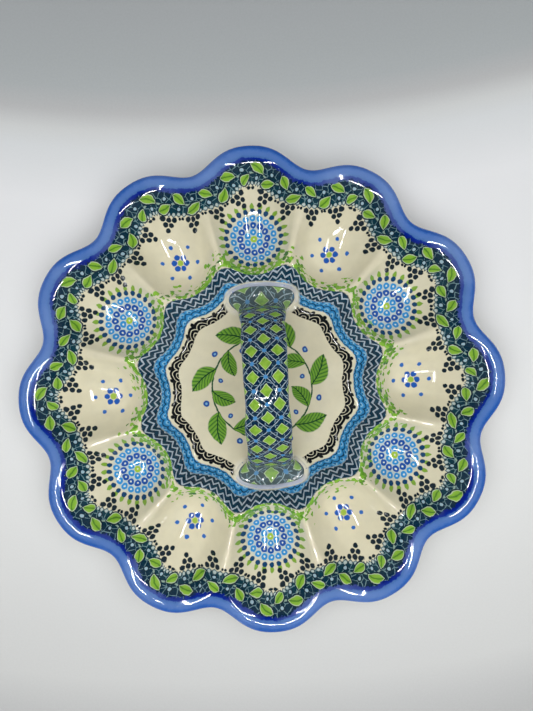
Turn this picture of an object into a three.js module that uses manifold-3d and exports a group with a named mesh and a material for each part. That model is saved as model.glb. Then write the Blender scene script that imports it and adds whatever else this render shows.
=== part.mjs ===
// Egg dish of glazed stoneware: a scalloped dish with a ring of egg wells round a flat centre,
// a strap handle that bridges the centre, and two beads of slip that bond the handle's feet.
// Millimetres, +Z up. The origin is on the table, on the dish's axis, and the handle runs along Y.

import * as THREE from "three";
import Module from "manifold-3d";

const wasm = await Module();
wasm.setup();

// Dish outline and heights
const WELL_COUNT = 12; // egg wells, and lobes of the lip
const LOBE_RADIUS = 130; // outline at the middle of a lobe
const NOTCH_DEPTH = 10.6; // how far the notch between two lobes cuts in
const SCALLOP_CRISPNESS = 0.155; // 0 makes a plain wave, more makes tighter notches
const RIM_HEIGHT = 26; // top of the lip above the table
const LIP_THICKNESS = 7; // the rolled lip, from outside to inside
const BODY_WALL = 5.5; // wall of the dish

// Ring crest between the centre and the wells
const CREST_AT_WELL = 61; // its radius behind a well, where it bulges towards the axis
const CREST_BULGE = 6.5; // depth of that bulge, measured from where a ridge joins the crest
const CREST_DROP = 3; // how far the crest lies below the lip
const CREST_ROUND = 6; // reach of the rounding along the crest
const CENTRE_WALL_ANGLE = THREE.MathUtils.degToRad(55); // slope of the wall round the centre
const FLOOR_FILLET = 7; // reach of the fillet at the foot of that wall

// Egg wells
const WELL_UNDER = 4.5; // gap from the table to the underside of a well
const WELL_LOWEST = 0.24; // where the well is deepest, as a share of the way from crest to lip
const WELL_SOFTNESS = 1; // size of the rounded part of its outer slope, the rest is nearly straight
const WELL_FLATNESS = 2.5; // power of its cross-section, 2 is a parabola, more has a flatter bottom
const RIDGE_RISE = 1.7; // power of the ridge's climb from the crest to the lip
const RIDGE_ROUND = 0.8; // rounding of the ridges, as a share of their height
const LIP_ROUND = 3; // reach of the rounding inside the lip

// Underside
const FOOT_HEIGHT = 4.5; // foot ring below the base
const FOOT_INSET = 4.4; // middle of the foot ring, inwards from the foot of the centre wall
const FOOT_WIDTH = 5; // flat of the foot ring
const FOOT_DRAFT = 1.5; // how much wider each side of the ring is at its root
const UNDER_BULGE = 0.5; // share of the crest's waviness that shows underneath
const UNDER_CREST_ROUND = 14; // softer rounding under the crest
const UNDER_RIDGE_ROUND = 1.2; // softer rounding under the ridges
const HOLLOW_HEIGHT = 7; // the hollows stay below a cone, this high above the foot ring
const HOLLOW_SLOPE = 0.28; // climb of that cone outwards
const HOLLOW_ROUND = 6; // reach of the rounding against it

// Strap handle
const HANDLE_HEIGHT = 60; // top of the handle above the table
const HANDLE_ASIDE = 2.5; // the strap is set by hand, this far to the right of the axis
const HANDLE_BACK = 1.2; // and this far to the back
const LEG_INSET = 10.4; // middle of a leg, inwards from the foot of the centre wall
const STRAP_WIDTH = 22; // at the top of the arch
const LEG_WIDTH = 26.5; // where the legs end
const STRAP_THICKNESS = 7;
const ARCH_SQUARENESS = 2.05; // 2 is an ellipse, more has flatter top and steeper legs
const STRAP_SQUARENESS = 2.8; // the same for the strap's cross-section and for the pads
const PAD_WIDTH = 36; // flattened foot of the strap, across
const PAD_DEPTH = 14; // and along the strap
const PAD_OUT = 6.7; // the foot is bent outwards, so its middle lies this far outside the leg
const PAD_EDGE = 1.6; // thickness of the pad at its edge
const PAD_SWELL = 5; // how much thicker it grows against the leg
const PAD_CROWN = 0.5; // share of the pad's size that is left where it has swollen

// Slip beads and seats
const BEAD_WIDTH = 2.2; // spread over the dish, round a pad
const BEAD_HEIGHT = 1.5; // climb up the edge of the pad
const SEAT_GAP = 0.35; // clearance between pieces that are bonded together

// Mesh fineness
const AROUND_WELL = [-1, -0.9, -0.72, -0.5, -0.25, 0, 0.25, 0.5, 0.72, 0.9]; // angles, in half pitches
const STRAP_SIDES = 20;
const ARCH_STEPS = 36;
const LIP_STEPS = 5;

// Sizes that follow
const PITCH = (2 * Math.PI) / WELL_COUNT;
const NOTCH_RADIUS = LOBE_RADIUS - NOTCH_DEPTH;
const CREST_AT_RIDGE = CREST_AT_WELL + CREST_BULGE;
const FLOOR_HEIGHT = FOOT_HEIGHT + BODY_WALL;
const WELL_FLOOR = WELL_UNDER + BODY_WALL;
const CREST_HEIGHT = RIM_HEIGHT - CREST_DROP;
const CREST_MEETING = CREST_HEIGHT + CREST_ROUND / 4; // height where wall and well meet before rounding
const RIM_MEETING = RIM_HEIGHT + LIP_ROUND; // height that a well climbs to before the lip rounds it off
const OUTER_CLIMB = Math.hypot(1, WELL_SOFTNESS) - WELL_SOFTNESS;
const CENTRE_WALL_RUN = (CREST_MEETING - FLOOR_HEIGHT) / Math.tan(CENTRE_WALL_ANGLE);
const CENTRE_WALL_FOOT = CREST_AT_WELL - CENTRE_WALL_RUN;
const FOOT_RADIUS = CENTRE_WALL_FOOT - FOOT_INSET;
const ARCH_HALF_SPAN = CENTRE_WALL_FOOT - LEG_INSET;
const ARCH_RISE = HANDLE_HEIGHT - STRAP_THICKNESS / 2 - FLOOR_HEIGHT;

// The lower of two heights, rounded where they are closer than reach.
function smoothMin(a, b, reach) {
  const overlap = Math.max(reach - Math.abs(a - b), 0);
  return Math.min(a, b) - (overlap * overlap) / (4 * reach);
}

// A wavy ring: one radius at the middle of each well, another between two wells.
function scallop(angle, atWell, between) {
  const wave = WELL_COUNT * angle;
  const swing = SCALLOP_CRISPNESS + Math.cos(wave) - SCALLOP_CRISPNESS * Math.cos(2 * wave);
  return (atWell + between) / 2 + ((atWell - between) / 2) * swing;
}

const lipRadius = (angle) => scallop(angle, LOBE_RADIUS, NOTCH_RADIUS);
const lipCrestRadius = (angle) => lipRadius(angle) - LIP_THICKNESS / 2;
const crestRadius = (angle) => scallop(angle, CREST_AT_WELL, CREST_AT_RIDGE);

// How far a radius lies on the way from the crest, 0, to the top of the lip, 1.
function alongWell(radius, angle) {
  const crest = crestRadius(angle);
  return (radius - crest) / (lipCrestRadius(angle) - crest);
}

// Flat floor that turns up into the sloping wall round the centre, which ends at a given radius.
function centreHeight(radius, wallTop) {
  const wall = CREST_MEETING - Math.tan(CENTRE_WALL_ANGLE) * (wallTop - radius);
  return -smoothMin(-FLOOR_HEIGHT, -wall, FLOOR_FILLET);
}

// One egg well: along its middle a parabola up to the crest and a hyperbola out to the lip, a power of
// the distance across it, and a ridge at each side.
function wellHeight(radius, angle, ridgeRound) {
  const along = alongWell(radius, angle);
  const across = Math.abs(angle / PITCH - Math.round(angle / PITCH)) * 2;
  const inner = along < WELL_LOWEST;
  const climb = inner ? 1 - along / WELL_LOWEST : (along - WELL_LOWEST) / (1 - WELL_LOWEST);
  const outerRise = (Math.hypot(climb, WELL_SOFTNESS) - WELL_SOFTNESS) / OUTER_CLIMB;
  const inwards = WELL_FLOOR + (CREST_MEETING - WELL_FLOOR) * climb ** 2;
  const outwards = WELL_FLOOR + (RIM_MEETING - WELL_FLOOR) * outerRise;
  const middle = inner ? inwards : outwards;
  const ridge = CREST_MEETING + (RIM_MEETING - CREST_MEETING) * Math.max(along, 0) ** RIDGE_RISE;
  const rounding = Math.max(ridgeRound - 2 * WELL_FLATNESS * (1 - across), 0) ** 2 / (4 * ridgeRound);
  return middle + ((ridge - middle) * (across ** WELL_FLATNESS - rounding)) / (1 - RIDGE_ROUND / 4);
}

// The glazed upper face of the dish, as far as the top of the lip.
function topHeight(radius, angle) {
  const centre = centreHeight(radius, crestRadius(angle));
  const body = smoothMin(centre, wellHeight(radius, angle, RIDGE_ROUND), CREST_ROUND);
  return smoothMin(body, RIM_HEIGHT, LIP_ROUND);
}

// A softer copy of the upper face, without the rounding of the lip.
function softHeight(radius, angle) {
  const centre = centreHeight(radius, THREE.MathUtils.lerp(CREST_AT_RIDGE, crestRadius(angle), UNDER_BULGE));
  return smoothMin(centre, wellHeight(radius, angle, UNDER_RIDGE_ROUND), UNDER_CREST_ROUND);
}

// The underside lies one wall's thickness below the soft copy, square to its slope, and below the cone.
function underHeight(radius, angle) {
  const step = 0.1;
  const turn = step / radius;
  const outward = (softHeight(radius + step, angle) - softHeight(radius - step, angle)) / (2 * step);
  const sideways = (softHeight(radius, angle + turn) - softHeight(radius, angle - turn)) / (2 * step);
  const offset = softHeight(radius, angle) - BODY_WALL * Math.hypot(1, outward, sideways);
  const cone = HOLLOW_HEIGHT + HOLLOW_SLOPE * (radius - FOOT_RADIUS);
  return smoothMin(offset, cone, HOLLOW_ROUND);
}

// Closes a stack of rings of points into one surface: round on itself, or capped at both ends.
function skin(rings, closed) {
  const sides = rings[0].length;
  const points = rings.flat();
  const triangles = [];
  const at = (ring, side) => (ring % rings.length) * sides + (side % sides);
  for (let ring = 0; ring < rings.length - (closed ? 0 : 1); ring++) {
    for (let side = 0; side < sides; side++) {
      const [a, b] = [at(ring, side), at(ring, side + 1)];
      const [d, c] = [at(ring + 1, side), at(ring + 1, side + 1)];
      triangles.push(a, d, c, a, c, b);
    }
  }
  if (!closed) {
    const last = rings.length - 1;
    for (const ring of [0, last]) {
      const middle = new THREE.Vector3();
      rings[ring].forEach((point) => middle.addScaledVector(point, 1 / sides));
      const hub = points.push(middle) - 1;
      for (let side = 0; side < sides; side++) {
        const edge = [at(ring, side), at(ring, side + 1)];
        triangles.push(hub, ...(ring === last ? edge.reverse() : edge));
      }
    }
  }
  const geometry = new THREE.BufferGeometry().setFromPoints(points);
  return geometry.setIndex(triangles);
}

function toSolid(geometry) {
  const vertProperties = new Float32Array(geometry.getAttribute("position").array);
  const triVerts = new Uint32Array(geometry.index.array);
  return new wasm.Manifold(new wasm.Mesh({ numProp: 3, vertProperties, triVerts }));
}

function toGeometry(solid) {
  const { vertProperties, triVerts } = solid.getMesh();
  const geometry = new THREE.BufferGeometry();
  geometry.setAttribute("position", new THREE.BufferAttribute(vertProperties, 3));
  return geometry.setIndex(new THREE.BufferAttribute(triVerts, 1));
}

// Rings of the dish are functions from an angle to a radius and a height.
const DISH_ANGLES = Array.from({ length: WELL_COUNT }, (_, well) =>
  AROUND_WELL.map((share) => (well + share / 2) * PITCH),
).flat();

function ringOfDish(place) {
  return DISH_ANGLES.map((angle) => {
    const [radius, height] = place(angle);
    return new THREE.Vector3(radius * Math.cos(angle), radius * Math.sin(angle), height);
  });
}

// Upper face, from the centre over the crest and through the wells to the top of the lip.
function topRings() {
  const wallSteps = [1.5, 1.25, 1.05, 0.85, 0.62, 0.4, 0.22, 0.08]; // in runs of the centre wall
  const wellSteps = [0.015, 0.045, 0.085, 0.13, 0.18, 0.24, 0.33, 0.44];
  wellSteps.push(0.56, 0.68, 0.79, 0.88, 0.94, 0.97, 1);
  const onTop = (radius, angle) => [radius, topHeight(radius, angle)];
  const centre = ringOfDish((angle) => onTop(crestRadius(angle) / 2, angle));
  const wall = wallSteps.map((step) =>
    ringOfDish((angle) => onTop(crestRadius(angle) - step * CENTRE_WALL_RUN, angle)),
  );
  const well = wellSteps.map((step) =>
    ringOfDish((angle) => {
      const crest = crestRadius(angle);
      return onTop(crest + step * (lipCrestRadius(angle) - crest), angle);
    }),
  );
  return [centre, ...wall, ...well];
}

// Outer half of the rolled lip.
function lipRings() {
  const sweep = THREE.MathUtils.degToRad(140);
  const half = LIP_THICKNESS / 2;
  return Array.from({ length: LIP_STEPS }, (_, step) => {
    const turn = Math.PI / 2 - (sweep * (step + 1)) / LIP_STEPS;
    return ringOfDish((angle) => [
      lipCrestRadius(angle) + half * Math.cos(turn),
      RIM_HEIGHT - half + half * Math.sin(turn),
    ]);
  });
}

// Underside, from below the lip to the base inside the foot ring.
function underRings() {
  const wellSteps = [0.92, 0.8, 0.68, 0.55, 0.42, 0.3, 0.2, 0.1];
  const wallSteps = [0, 0.35, 0.7];
  const onUnder = (radius, angle) => [radius, underHeight(radius, angle)];
  const well = wellSteps.map((step) =>
    ringOfDish((angle) => {
      const crest = crestRadius(angle);
      return onUnder(crest + step * (lipCrestRadius(angle) - crest), angle);
    }),
  );
  const wall = wallSteps.map((step) =>
    ringOfDish((angle) => onUnder(crestRadius(angle) - step * CENTRE_WALL_RUN, angle)),
  );
  const half = FOOT_WIDTH / 2;
  const foot = [
    [half + FOOT_DRAFT, FOOT_HEIGHT],
    [half, 0],
    [-half, 0],
    [-half - FOOT_DRAFT, FOOT_HEIGHT],
  ].map(([across, height]) => ringOfDish(() => [FOOT_RADIUS + across, height]));
  return [...well, ...wall, ...foot];
}

const dishGeometry = skin([...topRings(), ...lipRings(), ...underRings()], false);

// Everything below the seat of the handle: the upper face lifted by the gap, filled to below the table.
function belowSeat() {
  const lifted = topRings().map((ring) => ring.map((p) => p.clone().setZ(p.z + SEAT_GAP)));
  const skirt = ringOfDish((angle) => [lipCrestRadius(angle), -RIM_HEIGHT]);
  return toSolid(skin([...lifted, skirt], false));
}

const seat = belowSeat();

// The strap's middle line is an arch, close to an ellipse, that stands on the floor of the dish.
function archPoint(turn) {
  const squared = (x) => Math.sign(x) * Math.abs(x) ** (2 / ARCH_SQUARENESS);
  const y = HANDLE_BACK - ARCH_HALF_SPAN * squared(Math.cos(turn));
  return new THREE.Vector3(HANDLE_ASIDE, y, FLOOR_HEIGHT + ARCH_RISE * squared(Math.sin(turn)));
}

const archLine = new THREE.CatmullRomCurve3(
  Array.from({ length: 4 * ARCH_STEPS + 1 }, (_, i) => archPoint((Math.PI * i) / (4 * ARCH_STEPS))),
);
const ARCH_LENGTH = archLine.getLength();

const STRAP_TURNS = Array.from({ length: STRAP_SIDES }, (_, i) => (2 * Math.PI * i) / STRAP_SIDES);

function squaredOff(x) {
  return Math.sign(x) * Math.abs(x) ** (2 / STRAP_SQUARENESS);
}

// A point on the strap: distance along it from the front foot, turn round its cross-section, and growth.
function strapPoint(distance, turn, grow) {
  const inside = THREE.MathUtils.clamp(distance, 0, ARCH_LENGTH);
  const point = archLine.getPointAt(inside / ARCH_LENGTH);
  const forward = archLine.getTangentAt(inside / ARCH_LENGTH);
  const outward = new THREE.Vector3(0, -forward.z, forward.y);
  const low = Math.abs(2 * inside / ARCH_LENGTH - 1);
  const width = THREE.MathUtils.lerp(STRAP_WIDTH, LEG_WIDTH, low ** 2);
  point.addScaledVector(forward, distance - inside);
  point.addScaledVector(outward, (STRAP_THICKNESS / 2 + grow) * squaredOff(Math.sin(turn)));
  return point.setX(point.x + (width / 2 + grow) * squaredOff(Math.cos(turn)));
}

// A point over a pad: end -1 front or 1 back, turn round its outline, share and growth of its size, lift
// above the dish, and how far it lies on the way back to the leg.
function padPoint(end, turn, share, grow, lift, back = 0) {
  const across = ((PAD_WIDTH / 2) * share + grow) * squaredOff(Math.cos(turn));
  const along = ((PAD_DEPTH / 2) * share + grow) * squaredOff(Math.sin(turn));
  const x = HANDLE_ASIDE - end * across;
  const y = HANDLE_BACK + end * (ARCH_HALF_SPAN + PAD_OUT * (1 - back) + along);
  return new THREE.Vector3(x, y, topHeight(Math.hypot(x, y), Math.atan2(y, x)) + lift);
}

// The pad follows the dish and swells into the leg.
function padSolid(end) {
  const steps = [0, 0.25, 0.5, 0.75, 1];
  const rings = steps.map((step) => {
    const share = 1 - (1 - PAD_CROWN) * step ** 0.7;
    return STRAP_TURNS.map((turn) => padPoint(end, turn, share, 0, PAD_EDGE + PAD_SWELL * step ** 2, step));
  });
  rings.unshift(STRAP_TURNS.map((turn) => padPoint(end, turn, 1, 0, -BODY_WALL)));
  return toSolid(skin(rings, false));
}

// The strap runs from root to root, and may be grown all round by a clearance.
function strapSolid(grow) {
  const stations = [-BODY_WALL];
  for (let step = 0; step <= ARCH_STEPS; step++) stations.push((ARCH_LENGTH * step) / ARCH_STEPS);
  stations.push(ARCH_LENGTH + BODY_WALL);
  const rings = stations.map((distance) => STRAP_TURNS.map((turn) => strapPoint(distance, turn, grow)));
  return toSolid(skin(rings, false));
}

// The handle is the strap with a pad at each end, and both ends are trimmed to the dish.
function handleGeometry() {
  return toGeometry(strapSolid(0).add(padSolid(-1)).add(padSolid(1)).subtract(seat));
}

// Bead of slip round a pad: a fillet between the edge of the pad and the dish, from one side of the leg to
// the other, trimmed to both.
function beadGeometry(end) {
  const rings = STRAP_TURNS.map((turn) => [
    padPoint(end, turn, 1, SEAT_GAP, 0),
    padPoint(end, turn, 1, SEAT_GAP, BEAD_HEIGHT),
    padPoint(end, turn, 1, SEAT_GAP + BEAD_WIDTH * 0.45, BEAD_HEIGHT * 0.85),
    padPoint(end, turn, 1, SEAT_GAP + BEAD_WIDTH, SEAT_GAP * 1.3),
    padPoint(end, turn, 1, SEAT_GAP + BEAD_WIDTH, 0),
  ]);
  return toGeometry(toSolid(skin(rings, true)).subtract(seat).subtract(strapSolid(SEAT_GAP)));
}

const glazedCream = { color: "#d8d2b8", roughness: 0.12, metalness: 0 };
const glazedTeal = { color: "#1c3f4c", roughness: 0.12, metalness: 0 };

const eggDish = new THREE.Group();

function addPiece(name, geometry, finish) {
  geometry.computeVertexNormals();
  const mesh = new THREE.Mesh(geometry, new THREE.MeshStandardMaterial(finish));
  mesh.name = name;
  eggDish.add(mesh);
}

addPiece("dish_body", dishGeometry, glazedCream);
addPiece("strap_handle", handleGeometry(), glazedTeal);
addPiece("slip_bead_front", beadGeometry(-1), glazedCream);
addPiece("slip_bead_back", beadGeometry(1), glazedCream);

export default eggDish;
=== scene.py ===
# %% [markdown]
# # An egg dish in painted stoneware
# The real dish is moulded clay: a flat centre, a ring of twelve egg wells and a scalloped, rolled lip. A
# strap of clay arches over the centre, bonded at its feet with slip, and one clear glaze covers everything.
# We rebuild each piece as a surface of numpy arrays in the frame of the CAD model and paint it with shader
# nodes only. Shapes are in millimetres; they become metres when a mesh is made.

# %% Load the CAD model as a fixed frame
import bpy
import numpy as np
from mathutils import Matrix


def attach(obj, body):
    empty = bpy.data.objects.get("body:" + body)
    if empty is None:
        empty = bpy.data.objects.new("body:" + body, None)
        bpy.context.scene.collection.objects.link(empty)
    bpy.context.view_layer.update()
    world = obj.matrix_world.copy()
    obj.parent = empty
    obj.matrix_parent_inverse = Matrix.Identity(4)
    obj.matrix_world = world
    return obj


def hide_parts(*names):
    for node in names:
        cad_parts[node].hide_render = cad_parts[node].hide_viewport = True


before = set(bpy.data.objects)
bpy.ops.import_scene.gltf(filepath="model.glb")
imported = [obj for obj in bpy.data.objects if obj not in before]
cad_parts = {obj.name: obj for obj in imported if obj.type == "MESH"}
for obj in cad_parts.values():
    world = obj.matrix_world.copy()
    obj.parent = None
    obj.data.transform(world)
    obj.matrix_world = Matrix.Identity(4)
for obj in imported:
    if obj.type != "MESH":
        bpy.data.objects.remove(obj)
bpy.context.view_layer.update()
MM = 0.001

# %% [markdown]
# ## Camera
# The photograph looks straight down from a little off the dish's axis, as a camera without rotation does in
# Blender, so a place and a turn about Z are enough. The focal length comes from the dish's width: 260 mm seen
# from 0.4 m fills 487 pixels of a frame 533 wide and 711 high.

# %% Camera
FRAME_HEIGHT_PIXELS, FOCAL_PIXELS, SENSOR = 711, 707, 36
CAMERA_AT, CAMERA_TURN = (0.00345, 0.01762, 0.400), -3.19

camera_data = bpy.data.cameras.new("camera")
camera_data.sensor_width = SENSOR
camera_data.lens = SENSOR * FOCAL_PIXELS / FRAME_HEIGHT_PIXELS
camera = bpy.data.objects.new("camera", camera_data)
camera.location = CAMERA_AT
camera.rotation_euler = (0, 0, np.radians(CAMERA_TURN))
bpy.context.scene.collection.objects.link(camera)
bpy.context.scene.camera = camera
bpy.context.scene.view_settings.view_transform = "Standard"
print("lens of", round(camera_data.lens, 2), "mm")

# %% [markdown]
# ## Colours and nodes
# Colours are sRGB hex values, as an eyedropper gives them, but Blender mixes light in linear values, so one
# function converts them. A second one adds a node of any kind to the tree in work: it makes the settings,
# then fills the inputs in order with links or plain values. A word all in capitals, such as MULTIPLY, is a
# node of plain maths. With just these two, a pattern reads like a formula.

# %% Helpers for colours and nodes
SMOOTH = {"interpolation_type": "SMOOTHSTEP"}


def linear(colour, alpha=1.0):
    """Linear colour of an sRGB hex value: ((c + 0.055) / 1.055) to the power 2.4, and c / 12.92 near black. A
    number is a linear grey, and a tuple is linear already."""
    if isinstance(colour, tuple):
        return colour
    if not isinstance(colour, str):
        return (colour, colour, colour, alpha)
    channels = np.array([int(colour[i:i + 2], 16) for i in (1, 3, 5)]) / 255
    bright = ((channels + 0.055) / 1.055) ** 2.4
    return (*(float(c) for c in np.where(channels <= 0.04045, channels / 12.92, bright)), alpha)


def add(kind, *inputs, out=0, stops=(), **settings):
    """Adds a node to the tree t, written as Kind, Kind:OPERATION or, for plain maths, OPERATION. Its inputs
    are filled in order: a socket is linked, None leaves it alone, anything else is its value. Gives back one
    of the node's outputs."""
    kind, _, operation = ("Math:" + kind if kind.isupper() else kind).partition(":")
    node = t.nodes.new("ShaderNode" + kind)
    if operation:
        node.operation = operation
    for name, value in settings.items():
        setattr(node, name, value)
    for i, (place, colour) in enumerate(stops):
        elements = node.color_ramp.elements
        stop = elements[i] if i < 2 else elements.new(place)
        stop.position, stop.color = place, linear(colour)
    for socket, value in zip([s for s in node.inputs if s.enabled], inputs):
        if isinstance(value, bpy.types.NodeSocket):
            t.links.new(value, socket)
        elif value is not None:
            socket.default_value = linear(value) if isinstance(value, str) else value
    outputs = [s for s in node.outputs if s.enabled]
    return outputs[out] if outputs else node


def new_material(name):
    """An empty node material and its tree."""
    material = bpy.data.materials.new(name)
    material.use_nodes = True
    material.node_tree.nodes.clear()
    return material, material.node_tree


print("white is", linear("#ffffff"))

# %% [markdown]
# ## Light and floor
# The dish stands in a white tent under three light bars, left, right and in front, so every well shows two
# streaks that run towards the lip and a third across them. A lamp is two area lights. The tube is narrow and
# seen in reflections alone, as the streaks. The shade is wide and lights matt surfaces alone, so shadows are
# soft. The tent is a weak world light, a ring about 35 degrees from straight above and walls low down. Its
# top, where the camera looks in, is dark, so dark paint reflects next to nothing and stays deep. The floor is
# flat matt paper whose colour carries painted shade: darker towards the front, and most of all towards the
# back, where real paper bends up.

# %% Tent
WALLS, GAP, GLOW, OPENING = (0.34, 0.35, 0.36, 1), (0.07, 0.07, 0.08, 1), (0.35, 0.36, 0.37, 1), 0.02
world = bpy.data.worlds.new("white_tent")
bpy.context.scene.world = world
world.use_nodes = True
t = world.node_tree
t.nodes.clear()
upward = add("SeparateXYZ", add("TexCoord"), out=2)
tent = add("ValToRGB", upward, stops=[
    (0.0, WALLS), (0.36, WALLS), (0.44, GAP), (0.66, GAP), (0.74, GLOW), (0.86, GLOW), (0.93, OPENING)])
add("OutputWorld", add("Background", tent, 1.0))
print("tent with a ring of radiance", GLOW[:3])

# %% Light bars
LAMPS_HIGH, BAR_WIDTH, BAR_RADIANCE = 0.70, 0.009, 243
SHADE_SIZE, SHADE_GAIN, SHADE_ABOVE, SHADE_FORWARD = 0.95, 2.95, 0.03, 0.06
BARS = (("light_bar_left", -0.161, -0.087, 0.21, "Y"), ("light_bar_right", 0.143, -0.087, 0.21, "Y"),
        ("light_bar_front", -0.031, -0.219, 0.16, "X"))
for name, x, y, length, along in BARS:
    tube = (BAR_WIDTH, length) if along == "Y" else (length, BAR_WIDTH)
    shade_at = (x, y - SHADE_FORWARD, LAMPS_HIGH + SHADE_ABOVE)
    for part, size, gain, at in (("tube", tube, 1, (x, y, LAMPS_HIGH)),
                                 ("shade", (SHADE_SIZE, SHADE_SIZE), SHADE_GAIN, shade_at)):
        light = bpy.data.lights.new(name + "_" + part, "AREA")
        light.shape = "RECTANGLE"
        light.size, light.size_y = size
        light.energy = BAR_RADIANCE * np.pi * BAR_WIDTH * length * gain
        lamp = bpy.data.objects.new(light.name, light)
        lamp.location = at
        lamp.visible_glossy, lamp.visible_diffuse = part == "tube", part == "shade"
        bpy.context.scene.collection.objects.link(lamp)
print(len(BARS), "light bars with their shades")

# %% Paper floor
FLOOR_HALF = 1.2
SHADE_BOW, FIBRES_PER_METRE, PAPER_ROUGHNESS, PAPER_INDEX = 0.62, 900, 0.85, 1.45
floor_mesh = bpy.data.meshes.new("paper_floor")
corners = FLOOR_HALF * np.array([(-1, -1, 0), (1, -1, 0), (1, 1, 0), (-1, 1, 0)])
floor_mesh.from_pydata(corners.tolist(), [], [(0, 1, 2, 3)])
floor = bpy.data.objects.new("paper_floor", floor_mesh)
bpy.context.scene.collection.objects.link(floor)

paper, t = new_material("matt_paper")
place = add("TexCoord", out=3)
sideways = add("SeparateXYZ", place)
bowed = add("MULTIPLY", sideways, sideways)
depth = add("MULTIPLY_ADD", bowed, -SHADE_BOW, sideways.node.outputs[1])
fibre = add("TexNoise", place, FIBRES_PER_METRE, 3.0)
# Painted shade: the paper's tone is darkest at the front edge, lightest in the middle and dark again towards
# the back, along lines bowed by SHADE_BOW, where real paper bends up into a backdrop.
paper_with_painted_shade = add("ValToRGB", add("MapRange", depth, -0.20, 0.24), stops=[
    (0.0, "#b9bab9"), (0.033, "#c2c3c2"), (0.077, "#d0d1cf"), (0.147, "#d6d7d5"), (0.273, "#e3e4e2"),
    (0.40, "#ebeceb"), (0.69, "#edeeef"), (0.76, "#dfe2e3"), (0.784, "#d7d9d8"), (0.81, "#bfc0c0"),
    (0.84, "#b2b7b8"), (0.875, "#aeb3b4"), (1.0, "#a6a9ab")])
paper_with_painted_shade = add("Mix", 0.06, paper_with_painted_shade, add("ValToRGB", fibre), data_type="RGBA", blend_type="OVERLAY")
grain = add("Bump", 0.08, 0.0004, None, fibre)
add("OutputMaterial", add("BsdfPrincipled", paper_with_painted_shade, 0.0, PAPER_ROUGHNESS, PAPER_INDEX, None, grain))
floor_mesh.materials.append(paper)
print("floor of", 2 * FLOOR_HALF, "m")

# %% [markdown]
# ## The dish as a height above the table
# A mould maker draws the dish in two passes: a plan, with a scalloped outline and a wavy crest round the
# centre, and a section from the centre to the lip. We do the same. Each part of the section is a height that
# depends on radius and angle, and a smooth minimum rounds the places where two of them meet, the way clay and
# glaze round every edge.

# %% Plan of the dish
WELLS = 12
PITCH = 2 * np.pi / WELLS
LOBE_RADIUS, NOTCH_RADIUS = 130.0, 119.4
CREST_AT_WELL, CREST_AT_RIDGE = 61.0, 67.5
CRISPNESS = 0.155
LIP_THICKNESS = 7.0


def smooth_min(a, b, reach):
    """The lower of two heights, less (reach - |a - b|) squared / (4 reach) where they are close."""
    return np.minimum(a, b) - np.maximum(reach - np.abs(a - b), 0) ** 2 / (4 * reach)


def scallop(angle, at_well, at_ridge):
    """A wavy radius: the mean plus half the difference times a cosine, sharpened by its second harmonic."""
    swing = CRISPNESS + np.cos(WELLS * angle) - CRISPNESS * np.cos(2 * WELLS * angle)
    return (at_well + at_ridge) / 2 + (at_well - at_ridge) / 2 * swing


def crest_radius(angle):
    """Ring crest between the centre and the wells: it bulges towards the axis behind each well."""
    return scallop(angle, CREST_AT_WELL, CREST_AT_RIDGE)


def lip_crest_radius(angle):
    """Top of the rolled lip: half the lip's thickness inside the outline."""
    return scallop(angle, LOBE_RADIUS, NOTCH_RADIUS) - LIP_THICKNESS / 2


print("outline from", NOTCH_RADIUS, "to", LOBE_RADIUS, "mm")

# %% Section of the dish
RIM_HEIGHT, CREST_HEIGHT, FLOOR_HEIGHT = 26.0, 23.0, 10.0
CREST_ROUND, LIP_ROUND, FLOOR_FILLET = 6.0, 3.0, 7.0
CREST_MEETING = CREST_HEIGHT + CREST_ROUND / 4
RIM_MEETING = RIM_HEIGHT + LIP_ROUND
WALL_SLOPE = np.tan(np.radians(55))
WALL_RUN = (CREST_MEETING - FLOOR_HEIGHT) / WALL_SLOPE
FLOOR_SAG, SAG_REACH = 0.45, 1.2
WELL_LOWEST, WELL_SOFTNESS, WELL_FLATNESS = 0.24, 1.0, 2.5
RIDGE_RISE, RIDGE_ROUND = 1.7, 0.5


def centre_height(radius, wall_top):
    """The larger of floor and straight wall, which ends at the radius wall_top, with a fillet. Fired clay is
    never quite flat: the floor is a parabola that rises by twice FLOOR_SAG from its middle to the wall."""
    share = np.minimum(radius / (CREST_AT_WELL - WALL_RUN), SAG_REACH)
    floor = FLOOR_HEIGHT + FLOOR_SAG * (2 * share ** 2 - 1)
    wall = CREST_MEETING - WALL_SLOPE * (wall_top - radius)
    return -smooth_min(-floor, -wall, FLOOR_FILLET)


def well_height(radius, angle, ridge_round):
    """Egg well: along its middle a parabola up to the crest and a hyperbola out to the lip, across it a power
    of the distance from that line up to the ridge, which climbs from crest to lip with another power."""
    crest = crest_radius(angle)
    along = (radius - crest) / (lip_crest_radius(angle) - crest)
    across = np.abs(angle / PITCH - np.round(angle / PITCH)) * 2
    inward = np.maximum(1 - along / WELL_LOWEST, 0) ** 2 * (CREST_MEETING - FLOOR_HEIGHT)
    climb = np.maximum((along - WELL_LOWEST) / (1 - WELL_LOWEST), 0)
    soft = WELL_SOFTNESS
    outward = (np.hypot(climb, soft) - soft) / (np.hypot(1, soft) - soft) * (RIM_MEETING - FLOOR_HEIGHT)
    middle = FLOOR_HEIGHT + inward + outward
    ridge = CREST_MEETING + (RIM_MEETING - CREST_MEETING) * np.maximum(along, 0) ** RIDGE_RISE
    rounding = np.maximum(ridge_round - 2 * WELL_FLATNESS * (1 - across), 0) ** 2 / (4 * ridge_round)
    return middle + (ridge - middle) * (across ** WELL_FLATNESS - rounding) / (1 - RIDGE_ROUND / 4)


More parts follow.
